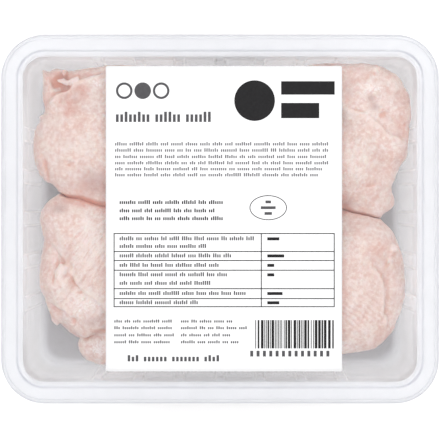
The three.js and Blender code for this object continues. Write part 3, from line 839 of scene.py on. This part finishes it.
def skin_relief(points, wing, seed):
    """The unevenness of the skin: its swellings, its dimples and wrinkles, and its strands."""
    broad = 0.7 * noise(points, 19, seed) + 0.45 * noise(points, 8.5, seed + 1)
    fine = 0.24 * noise(points, 4.2, seed + 2) + 0.1 * noise(points, 1.9, seed + 6)
    rough = patches(points, wing["rough"])
    fine += rough * (0.5 * noise(points, 3.4, seed + 10) + 0.28 * noise(points, 1.8, seed + 11))
    # Wrinkles run where a wide noise passes through zero.
    wide = noise(points + 2.5 * noise(points, 6, seed + 7)[:, None], 10, seed + 8)
    share = smooth(noise(points, 16, seed + 9), 0, 0.6)
    fine -= 0.3 * share * np.exp(-((wide / 0.1) ** 2))
    x, y = points[:, 0], points[:, 1]
    strands = np.zeros(len(points))
    for at, sizes, turn, length, pitch, even, height in wing["strands"]:
        along, across = turned(x, y, at, turn)
        mask = 1 - smooth(np.hypot(along / sizes[0], across / sizes[1]), 0.5, 1.1)
        across = across + 0.7 * noise(points, 7, seed + 3)
        wave = np.sin(across * 2 * math.pi / pitch)
        flow = 1.5 * noise(np.stack([along / length, across / pitch], 1), 1, seed + 5)
        strands += height * mask * (even * wave + (1 - even) * flow)
    return broad, fine, strands * smooth(points[:, 2], 20, 28)


def follicle_rows(points, wing, seed):
    """Where each point lies in the rows of follicles, counted in follicles."""
    turn, length, pitch = wing["rows"]
    along, across = turned(points[:, 0], points[:, 1], (0, 0), turn)
    along = along + 1.4 * noise(points, 9, seed + 3)
    across = across + 0.9 * noise(points, 7, seed + 4)
    return np.stack([along / length, across / pitch, points[:, 2] / pitch], 1)


def gradient(points, name, reach=0.3):
    steps = []
    for axis in range(3):
        ahead, behind = points.copy(), points.copy()
        ahead[:, axis] += reach
        behind[:, axis] -= reach
        steps.append(clear_distance(*ahead.T, name) - clear_distance(*behind.T, name))
    slope = np.stack(steps, 1) / (2 * reach)
    size = np.linalg.norm(slope, axis=1, keepdims=True)
    return slope / np.maximum(size, 1e-6), np.maximum(size[:, 0], 0.4)


def wing_mesh(name, seed):
    wing = WINGS[name]
    centres = np.array([lobe[0] for lobe in wing["lobes"]])
    reach = np.array([max(lobe[1]) for lobe in wing["lobes"]])[:, None]
    low = np.append((centres - reach).min(0) - 2, -1)
    high = np.append((centres + reach).max(0) + 2, RIM_TOP)
    low[:2] = np.maximum(low[:2], (-TRAY_LENGTH / 2, -TRAY_WIDTH / 2))
    high[:2] = np.minimum(high[:2], (TRAY_LENGTH / 2, TRAY_WIDTH / 2))
    axes = [np.arange(a, b, FLESH_CELL) for a, b in zip(low, high)]
    x, y, z = np.meshgrid(*axes, indexing="ij", sparse=True)
    distance = fill_pinches(clear_distance(x, y, z, name))
    points, faces = surface_net(distance, low, FLESH_CELL)
    for _ in range(2):
        normal, steep = gradient(points, name)
        distance = clear_distance(*points.T, name)
        points -= normal * np.clip(distance / steep, -0.5, 0.5)[:, None]
    normal, _ = gradient(points, name)
    # Painted shade: the skin is darkened where other skin lies close in front of it, and along the
    # dark line under each fold.
    outward = clear_distance(*(points + CREASE_LOOK * normal).T, name)
    crease = np.clip((CREASE_NEAR - outward) / CREASE_NEAR, 0, 1)
    rim_highlight = np.zeros(len(points))
    ragged_x, ragged_y = ragged(*points.T[:2])
    for fold in wing["folds"]:
        fold_rim, fold_line = fold_relief(ragged_x, ragged_y, points[:, 2], *fold, marks=True)
        rim_highlight = np.maximum(rim_highlight, fold_rim)
        crease = np.maximum(crease, 0.6 * fold_line)
    dimples = patches(points, DIMPLES)
    broad, fine, strands = skin_relief(points, wing, seed)
    relief = (broad + fine + strands - 0.4 * dimples) * smooth(points[:, 2], 2, 8)
    # The dimples get painted shade as well.
    crease = np.maximum(crease, dimples)
    room = 0.4 - tray_space_distance(*points.T)
    for other in WINGS:
        if other != name:
            away = np.maximum(wing_distance(*points.T, WINGS[other]), WING_GAP)
            room = np.minimum(room, 0.45 * away - 0.05)
            # Pressed together, the wings close up along the line where they meet.
            relief += (GIVE - relief) * (1 - smooth(away, 0.4, 4))
            # Painted shade where the wings meet.
            crease = np.maximum(crease, 1.2 - 1.2 * smooth(away, 0.3, 2.6))
    points = points + normal * np.minimum(relief, room)[:, None]
    fat = np.zeros(len(points))
    shifted = ragged(*points.T[:2])
    for at, sizes, turn, blend in wing["bits"]:
        if blend < FLESH_BLEND:
            along, across = turned(*shifted, at, turn)
            up = points[:, 2] - at[2]
            fat = np.maximum(fat, 1 - smooth(rounded_distance(along, across, up, sizes), 0, 0.7))
    return points, faces, dict(
        crease=crease,
        # drives painted shade and highlight that follow the fine relief
        height=0.5 * fine + strands,
        rows=follicle_rows(points, wing, seed),
        pores=patches(points, wing["pores"]),
        pulled=patches(points, wing["pulled"]),
        rough=patches(points, wing["rough"]),
        rim_highlight=rim_highlight,
        fat=fat,
        blush_and_label_shadow=patches(points, BLUSH_AND_LABEL_SHADOW),
        frost_and_painted_light=patches(points, FROST_AND_PAINTED_LIGHT),
        hollow_shade=patches(points, HOLLOW_SHADE),
    )


def chicken_skin(name):
    """Raw chilled chicken skin: translucent and moist, pale over fat and pink over flesh."""
    material, tree, surface = new_material(name)
    place = add(tree, "ShaderNodeTexCoord").outputs["Object"]
    parts = {}
    marks = ("crease", "height", "pores", "pulled", "rough", "rim_highlight", "fat", "blush_and_label_shadow", "frost_and_painted_light", "hollow_shade")
    for mask in marks:
        parts[mask] = add(tree, "ShaderNodeAttribute", attribute_name=mask).outputs["Fac"]
    # Fat shows through in clouds about 11 mm apart, with mottling and fine specks between them.
    # The ice crystals are finer than that, and are drawn up to 1 mm across so that they show.
    for pattern, size, detail in (
        ("clouds", 11.1, 2),
        ("mottle", 4.17, 4),
        ("specks", 1.67, 3),
        ("crystals", 1, 2),
    ):
        inputs = {"Vector": place, "Scale": scale_for(size), "Detail": detail, "Roughness": 0.65}
        parts[pattern] = add(tree, "ShaderNodeTexNoise", inputs).outputs["Fac"]
    # Follicles stand in rows about 2 mm apart, each on a small mound. Where the skin is pulled
    # tight, it draws out into strands along the rows.
    rows = add(tree, "ShaderNodeAttribute", attribute_name="rows").outputs["Vector"]
    inputs = {"Vector": rows, "Scale": 1.2, "Detail": 2, "Roughness": 0.6}
    strands = add(tree, "ShaderNodeTexNoise", inputs, noise_dimensions="2D")
    parts["strands"] = strands.outputs["Fac"]
    inputs = {"Vector": rows, "Scale": 1, "Randomness": 0.35}
    mounds = add(tree, "ShaderNodeTexVoronoi", inputs, voronoi_dimensions="2D")
    tops = {0: mounds.outputs["Distance"], 1: -2, 2: 1.2}
    parts["tops"] = add(tree, "ShaderNodeMath", tops, operation="MULTIPLY_ADD").outputs["Value"]
    parts["seams"] = mounds.outputs["Distance"]
    # The flesh's flush, the marbling and the ice are all broken up by a pattern. The flush also
    # carries the label's painted shadow, and the ice and its bloom carry painted light on one low
    # lobe.
    for result, mask, pattern in (
        ("flush_and_label_shadow", "blush_and_label_shadow", "mottle"),
        ("marbling", "rough", "mottle"),
        ("bloom_and_painted_light", "frost_and_painted_light", "specks"),
        ("ice_and_painted_light", "frost_and_painted_light", "crystals"),
        ("mounds", "pores", "tops"),
        ("furrows", "pores", "seams"),
        ("ridges", "pulled", "strands"),
    ):
        both = {0: parts[mask], 1: parts[pattern]}
        parts[result] = add(tree, "ShaderNodeMath", both, operation="MULTIPLY").outputs["Value"]

    colour = linear("#ddc0b6")
    # what shows, where it starts and is full, how strong it is at most, and its colour
    for part, low, high, most, tint in (
        ("clouds", 0.35, 0.65, 1, "#e0cdc5"),
        ("mottle", 0.48, 0.64, 0.5, "#d4ada2"),
        ("specks", 0.5, 0.64, 0.5, "#eee1dc"),
        ("specks", 0.48, 0.34, 0.4, "#cfa296"),
        # Painted highlight on the strands and follicle mounds, painted shade in the seams between
        # mounds.
        ("ridges", 0.25, 0.6, 0.6, "#ecdfda"),
        ("mounds", 0.1, 0.9, 0.4, "#ecdfda"),
        ("furrows", 0.3, 0.7, 0.5, "#cb9a8d"),
        ("marbling", 0.3, 0.65, 0.6, "#cda499"),
        # this layer also carries the painted shadow along the label's edges
        ("flush_and_label_shadow", 0.05, 0.75, 0.9, "#cc9080"),
        # Painted shade in the fine relief's hollows and painted highlight on its rises.
        ("height", 0, -0.35, 0.5, "#cc9d90"),
        ("height", 0.02, 0.35, 0.5, "#e9dcd6"),
        # painted highlight along each fold's upper edge
        ("rim_highlight", 0, 1, 0.6, "#e6d5cc"),
        # frost, with painted light on one shaded low lobe
        ("bloom_and_painted_light", 0.1, 0.6, 0.6, "#ebe1dd"),
        ("ice_and_painted_light", 0.42, 0.54, 0.7, "#f2eae8"),
        # painted shade in the skin's hollows
        ("hollow_shade", 0, 1.2, 0.8, "#b3938e"),
        # Painted shade in creases, dimples and where the wings meet.
        ("crease", 0.15, 0.8, 0.65, "#d29a88"),
        ("crease", 0.8, 1.2, 0.85, "#d9957f"),
        ("fat", 0, 1, 0.8, "#e5d6d1"),
    ):
        limits = {"Value": parts[part], "From Min": low, "From Max": high, "To Max": most}
        share = add(tree, "ShaderNodeMapRange", limits, interpolation_type="SMOOTHSTEP")
        layers = {0: share.outputs["Result"], 6: colour, 7: linear(tint)}
        colour = add(tree, "ShaderNodeMix", layers, data_type="RGBA").outputs[2]

    # The mounds, the strands and the specks stand up a little.
    grain = {0: parts["mounds"], 1: 0.7, 2: parts["specks"]}
    grain = add(tree, "ShaderNodeMath", grain, operation="MULTIPLY_ADD").outputs["Value"]
    grain = {0: parts["ridges"], 1: 1.4, 2: grain}
    grain = add(tree, "ShaderNodeMath", grain, operation="MULTIPLY_ADD").outputs["Value"]
    relief = add(tree, "ShaderNodeBump", {"Height": grain, "Strength": 0.5, "Distance": 0.0005})
    limits = {"From Min": 0.2, "From Max": 0.5, "To Min": 0.42, "To Max": 0.65}
    limits["Value"] = parts["ice_and_painted_light"]
    skin = add(
        tree,
        "ShaderNodeBsdfPrincipled",
        {
            "Base Color": colour,
            "Roughness": add(tree, "ShaderNodeMapRange", limits).outputs["Result"],
            "IOR": 1.4,
            "Subsurface Weight": 0.6,
            "Subsurface Radius": (0.9, 0.45, 0.3),
            "Subsurface Scale": 0.0009,
            "Normal": relief.outputs["Normal"],
        },
    )
    tree.links.new(skin.outputs["BSDF"], surface)
    return material


raw_skin = chicken_skin("raw_chicken_skin_chilled")
for seed, wing_name in enumerate(WINGS):
    wing_points, wing_faces, wing_masks = wing_mesh(wing_name, 100 * (seed + 1))
    wing = make_piece(f"raw_{wing_name}", wing_points, wing_faces, raw_skin)
    for mask_name, mask_values in wing_masks.items():
        add_mask(wing, mask_name, mask_values)
    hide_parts(wing_name)

# ------------------------------------------------------------------ lid film
# The lid is a clear peel-off film, heat-welded to the flange's flat band and cut just
# outside it. It is stretched nearly flat over the wings.

AIR = 0.15  # left between pieces that lie on each other
FILM_THICK = 0.2
FILM_LOW = RIM_TOP + AIR


def sheet_mesh(outline, low, high, layers=6):
    """A thin closed sheet: its outline drawn in towards the middle in a few layers."""
    centre = (outline.min(0) + outline.max(0)) / 2
    scales = 1 - (np.arange(layers) / layers) ** 1.5
    flats = [centre + (outline - centre) * s for s in scales]
    stack = [(f, low) for f in reversed(flats)] + [(f, high) for f in flats]
    stack = [np.column_stack([flat, np.full(len(outline), z)]) for flat, z in stack]
    return closed_stack(stack, [[*centre, low], [*centre, high]])


def clear_film(name):
    """Coextruded polyester film, cast and stretched: clear, with a high gloss."""
    material, tree, surface = new_material(name)
    place = add(tree, "ShaderNodeTexCoord").outputs["Object"]
    # Stretching leaves faint waves a little over 20 mm long.
    inputs = {"Vector": place, "Scale": scale_for(22.2), "Detail": 1}
    waves = add(tree, "ShaderNodeTexNoise", inputs).outputs["Fac"]
    bump = add(tree, "ShaderNodeBump", {"Height": waves, "Strength": 0.3, "Distance": 0.001})
    gloss = add(tree, "ShaderNodeMapRange", {"Value": waves, "To Min": 0.06, "To Max": 0.14})
    film = add(
        tree,
        "ShaderNodeBsdfPrincipled",
        {
            "Base Color": linear("#f2f3f8"),
            "Roughness": gloss.outputs["Result"],
            "IOR": 1.5,
            "Alpha": 0.05,
            "Normal": bump.outputs["Normal"],
        },
    )
    tree.links.new(film.outputs["BSDF"], surface)
    return material


film_outline = ring(BAND_OUTER, CORNER_RADIUS - BAND_OUTER)[::3]
film_points, film_faces = sheet_mesh(film_outline, FILM_LOW, FILM_LOW + FILM_THICK)
film = make_piece("clear_lid_film", film_points, film_faces, clear_film("polyester_film_clear"))
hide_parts("lid_film")

# ------------------------------------------------------------------ label
# The label is a white self-adhesive sheet of coated paper, die-cut with slightly rounded
# corners and stuck on the middle of the film.

LABEL_THICK = 0.2
LABEL_LOW = FILM_LOW + FILM_THICK + AIR
LABEL_TOP = LABEL_LOW + LABEL_THICK
LABEL_SIZE = (102.4, 132.3)
LABEL_CENTRE = (1.7, 0.2)
LABEL_CORNER = 0.8


def label_outline():
    half = np.array(LABEL_SIZE) / 2 - LABEL_CORNER
    points = []
    for turn, signs in enumerate([(1, 1), (-1, 1), (-1, -1), (1, -1)]):
        angles = (turn + np.linspace(0, 1, 5)) * math.pi / 2
        arc = LABEL_CORNER * np.stack([np.cos(angles), np.sin(angles)], 1)
        points += list(LABEL_CENTRE + half * signs + arc)
    corners = np.array(points)
    out = []
    for a, b in zip(corners, np.roll(corners, -1, 0)):
        steps = max(round(np.hypot(*(b - a)) / 4), 1)
        out += [a + (b - a) * k / steps for k in range(steps)]
    return np.array(out)


def coated_paper(name):
    """Coated label paper, calendered smooth: bright white, with a faint fibre cloud."""
    material, tree, surface = new_material(name)
    place = add(tree, "ShaderNodeTexCoord").outputs["Object"]
    # Fibres gather in clouds 3 mm wide. They are finer than this themselves, and are drawn
    # 0.7 mm wide so that they show.
    inputs = {"Vector": place, "Scale": scale_for(3.33), "Detail": 4}
    cloud = add(tree, "ShaderNodeTexNoise", inputs)
    layers = {0: cloud.outputs["Fac"], 6: linear("#f4f4f5"), 7: linear("#f8f8f9")}
    colour = add(tree, "ShaderNodeMix", layers, data_type="RGBA")
    inputs = {"Vector": place, "Scale": scale_for(0.667), "Detail": 2}
    fibres = add(tree, "ShaderNodeTexNoise", inputs).outputs["Fac"]
    bump = add(tree, "ShaderNodeBump", {"Height": fibres, "Strength": 0.1, "Distance": 0.0001})
    paper = add(
        tree,
        "ShaderNodeBsdfPrincipled",
        {
            "Base Color": colour.outputs[2],
            "Roughness": 0.55,
            "IOR": 1.45,
            "Specular IOR Level": 0.3,
            "Normal": bump.outputs["Normal"],
        },
    )
    tree.links.new(paper.outputs["BSDF"], surface)
    return material


label_points, label_faces = sheet_mesh(label_outline(), LABEL_LOW, LABEL_TOP)
label_paper = coated_paper("coated_label_paper")
label = make_piece("white_paper_label", label_points, label_faces, label_paper)
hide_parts("label")

# ------------------------------------------------------------------ print on the label
# The label is printed in one black: rows of small upright blocks, in groups as long as words
# are, with a ruled table, an oval mark and a block of stripes. The finer rows are drawn in
# greys, which is how thin strokes of black look from this far.

INK_THICK = 0.05
INKS = dict(
    solid=("#121113", "#232224"),
    strong=("#4a494c", "#59585b"),
    fine=("#6b6a6d", "#79787c"),
)
LABEL_LEFT = LABEL_CENTRE[0] - LABEL_SIZE[0] / 2
LABEL_BACK = LABEL_CENTRE[1] + LABEL_SIZE[1] / 2

ROUND_STEPS = 48

random = np.random.default_rng(7)
prints = {tone: ([], []) for tone in INKS}  # points and faces of each tone's slabs


def on_label(loop):
    """Places points given from the label's top left corner, with the second one downwards."""
    return np.array([LABEL_LEFT, LABEL_BACK]) + np.array(loop) * (1, -1)


def slab(tone, loop):
    """A closed patch of ink with a solid outline, listed anticlockwise as seen."""
    points, faces = prints[tone]
    first, count = len(points), len(loop)
    flat = on_label(loop)
    for z in (LABEL_TOP, LABEL_TOP + INK_THICK):
        points += [(x, y, z) for x, y in flat]
    faces.append([first + i for i in reversed(range(count))])
    faces.append([first + count + i for i in range(count)])
    for i in range(count):
        after = (i + 1) % count
        faces.append([first + i, first + after, first + count + after, first + count + i])


def oval(centre, sizes):
    angles = np.arange(ROUND_STEPS) * 2 * math.pi / ROUND_STEPS
    return np.array(centre) + np.array(sizes) * np.stack([np.cos(angles), -np.sin(angles)], 1)


def hoop(tone, centre, sizes, line):
    """A closed ring of ink."""
    points, faces = prints[tone]
    first = len(points)
    for reach, z in ((0, 0), (0, INK_THICK), (-line, INK_THICK), (-line, 0)):
        loop = on_label(oval(centre, np.array(sizes) + reach))
        points += [(x, y, LABEL_TOP + z) for x, y in loop]
    for k in range(4):
        a, b = first + k * ROUND_STEPS, first + (k + 1) % 4 * ROUND_STEPS
        for i in range(ROUND_STEPS):
            after = (i + 1) % ROUND_STEPS
            faces.append([a + i, a + after, b + after, b + i])


def bar(tone, left, top, right, bottom):
    slab(tone, [(left, bottom), (right, bottom), (right, top), (left, top)])


def disc(tone, centre, radius):
    slab(tone, oval(centre, radius))


def block_row(tone, left, right, middle, height, pitch=0.9):
    """Groups of plain upright blocks between two ends; some blocks stand taller."""
    place = left
    while place < right - 3 * pitch:
        blocks = min(random.integers(3, 9), int((right - place) / pitch))
        for tall in random.random(blocks) < 0.3:
            top = middle - height * (0.85 if tall else 0.5)
            bar(tone, place, top, place + 0.62 * pitch, middle + height / 2)
            place += pitch
        place += pitch


# heading: three plain marks over a bold row
hoop("strong", (8, 10.7), (3.6, 3.6), 1)
disc("strong", (16, 10.7), 3.6)
hoop("strong", (24, 10.7), (3.6, 3.6), 1)
block_row("strong", 4.4, 49.6, 22.6, 3.3, pitch=1.9)

# a plain disc and two bars beside it
disc("solid", (64.5, 15), 8.8)
bar("solid", 76, 6.6, 99.2, 12.4)
bar("solid", 76, 16, 92.5, 22.6)

# six fine rows right across, and three darker short ones
for middle, right in zip(
    (33.9, 36.6, 39.4, 42.1, 44.7, 47.3),
    (97.5, 97.5, 97, 97.5, 96.4, 92.8),
):
    block_row("fine", 4, right, middle, 1.1)
for middle, right in ((59.2, 52.5), (62.8, 48.6), (66.2, 51)):
    block_row("solid", 6, right, middle, 1.25)

# oval mark
hoop("solid", (70.4, 61.4), (8.1, 5.4), 0.35)
for middle, half in ((58.9, 1.2), (61.4, 3.2), (63.9, 1.6)):
    bar("strong", 70.4 - half, middle - 0.6, 70.4 + half, middle + 0.6)

# ruled table with two columns
FRAME = dict(left=3.4, right=99.2, top=72.4, bottom=104.5, column=67.2)
RULE = 0.4
for row in (FRAME["top"], 80.2, 84.1, 88.3, 96.3, 100.6, FRAME["bottom"] - RULE):
    bar("solid", FRAME["left"], row, FRAME["right"], row + RULE)
for column in (FRAME["left"], FRAME["column"], FRAME["right"] - RULE):
    bar("solid", column, FRAME["top"] + RULE / 2, column + RULE, FRAME["bottom"] - RULE / 2)
rows = (74.9, 78.2, 82.3, 86.4, 90.5, 94.2, 98.6, 102.6)
for middle, right in zip(rows, (65, 44, 55.4, 49.9, 52.8, 47.7, 61.1, 40.7)):
    block_row("strong", 6, right, middle, 1.3)
rows = (74.9, 82.3, 86.4, 90.5, 98.6, 102.6)
for middle, right in zip(rows, (75.2, 77.3, 73, 73, 76.6, 75.2)):
    bar("solid", 70, middle - 0.65, right, middle + 0.65)

# small rows in two columns, a bold row, and a block of stripes over a row of squares
for middle in (110.7, 113.6, 116.7, 119.7):
    block_row("strong", 3.7, random.uniform(28, 31.2), middle, 0.95)
    block_row("strong", 32.6, random.uniform(52, 62), middle, 0.95)
block_row("strong", 9.5, 51, 127, 2, pitch=1.75)
place = 64.8
while place < 98.2:
    stripe = random.choice((0.35, 0.35, 0.7, 1.1))
    bar("solid", place, 110.1, min(place + stripe, 98.8), 122.4)
    place += stripe + random.choice((0.35, 0.35, 0.7))
for place in np.arange(62.6, 98, 2.75):
    bar("strong", place, 123.4, place + 1.3, 125.9)


def printing_ink(name, darkest, lightest):
    """Black flexographic ink on coated paper, dried matt, a little uneven in coverage."""
    material, tree, surface = new_material(name)
    place = add(tree, "ShaderNodeTexCoord").outputs["Object"]
    # The plate's pressure varies over 1 mm or so.
    inputs = {"Vector": place, "Scale": scale_for(1.11), "Detail": 2}
    cloud = add(tree, "ShaderNodeTexNoise", inputs)
    layers = {0: cloud.outputs["Fac"], 6: linear(darkest), 7: linear(lightest)}
    colour = add(tree, "ShaderNodeMix", layers, data_type="RGBA")
    black = add(
        tree,
        "ShaderNodeBsdfPrincipled",
        {"Base Color": colour.outputs[2], "Roughness": 0.6, "Specular IOR Level": 0.2},
    )
    tree.links.new(black.outputs["BSDF"], surface)
    return material


for tone, (points, faces) in prints.items():
    mesh = bpy.data.meshes.new(f"label_print_{tone}")
    mesh.from_pydata((np.array(points) / 1000).tolist(), [], faces)
    mesh.materials.append(printing_ink(f"flexographic_ink_{tone}", *INKS[tone]))
    piece = bpy.data.objects.new(mesh.name, mesh)
    bpy.context.collection.objects.link(piece)
    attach(piece, "root")

# ------------------------------------------------------------------ table, light and camera
# The pack lies on a plain white table under a large soft light, and the camera looks
# straight down on it.

TABLE_HALF = 1.5
TABLE_DROP = 0.0002  # keeps its face clear of the tray's underside


def white_laminate(name):
    """Matt white laminate, pressed: almost even, with a faint cloud."""
    material, tree, surface = new_material(name)
    place = add(tree, "ShaderNodeTexCoord").outputs["Object"]
    # The board under it is uneven over a hand's breadth.
    inputs = {"Vector": place, "Scale": scale_for(83), "Detail": 2}
    cloud = add(tree, "ShaderNodeTexNoise", inputs)
    layers = {0: cloud.outputs["Fac"], 6: linear("#fafafa"), 7: linear("#fefefe")}
    colour = add(tree, "ShaderNodeMix", layers, data_type="RGBA")
    top = add(
        tree,
        "ShaderNodeBsdfPrincipled",
        {
            "Base Color": colour.outputs[2],
            "Roughness": 0.9,
            "Emission Color": linear("#ffffff"),
            "Emission Strength": 0.065,
        },
    )
    tree.links.new(top.outputs["BSDF"], surface)
    return material


table_mesh = bpy.data.meshes.new("table")
table_corners = ((-1, -1), (1, -1), (1, 1), (-1, 1))
table_points = [(x * TABLE_HALF, y * TABLE_HALF, -TABLE_DROP) for x, y in table_corners]
table_mesh.from_pydata(table_points, [], [(0, 1, 2, 3)])
table_mesh.materials.append(white_laminate("white_laminate_table"))
table = bpy.data.objects.new("table", table_mesh)
bpy.context.collection.objects.link(table)

world = bpy.data.worlds.new("soft_room")
bpy.context.scene.world = world
world.use_nodes = True
world.node_tree.nodes["Background"].inputs["Color"].default_value = linear("#ffffff")
world.node_tree.nodes["Background"].inputs["Strength"].default_value = 1

LAMP_PLACE = np.array([0.06, 0.23, 1.2])
LAMP_AIM = np.array([0, 0, 0.03])
light = bpy.data.lights.new("soft_box_overhead", "AREA")
light.shape = "RECTANGLE"
light.size, light.size_y = 1.2, 1.0
light.energy = 4.4
lamp = bpy.data.objects.new("soft_box_overhead", light)
lamp.location = LAMP_PLACE
across, along, down = LAMP_AIM - LAMP_PLACE
tilt = math.atan2(np.hypot(across, along), -down)
lamp.rotation_euler = (tilt, 0, math.atan2(-across, along))
bpy.context.collection.objects.link(lamp)

camera_data = bpy.data.cameras.new("camera")
camera_data.lens = 88.6
camera_data.sensor_width = 36
camera_data.shift_y = -0.034
camera = bpy.data.objects.new("camera", camera_data)
camera.location = (0, 0.0061, 0.512)
bpy.context.collection.objects.link(camera)
bpy.context.scene.camera = camera
bpy.context.scene.view_settings.view_transform = "Standard"
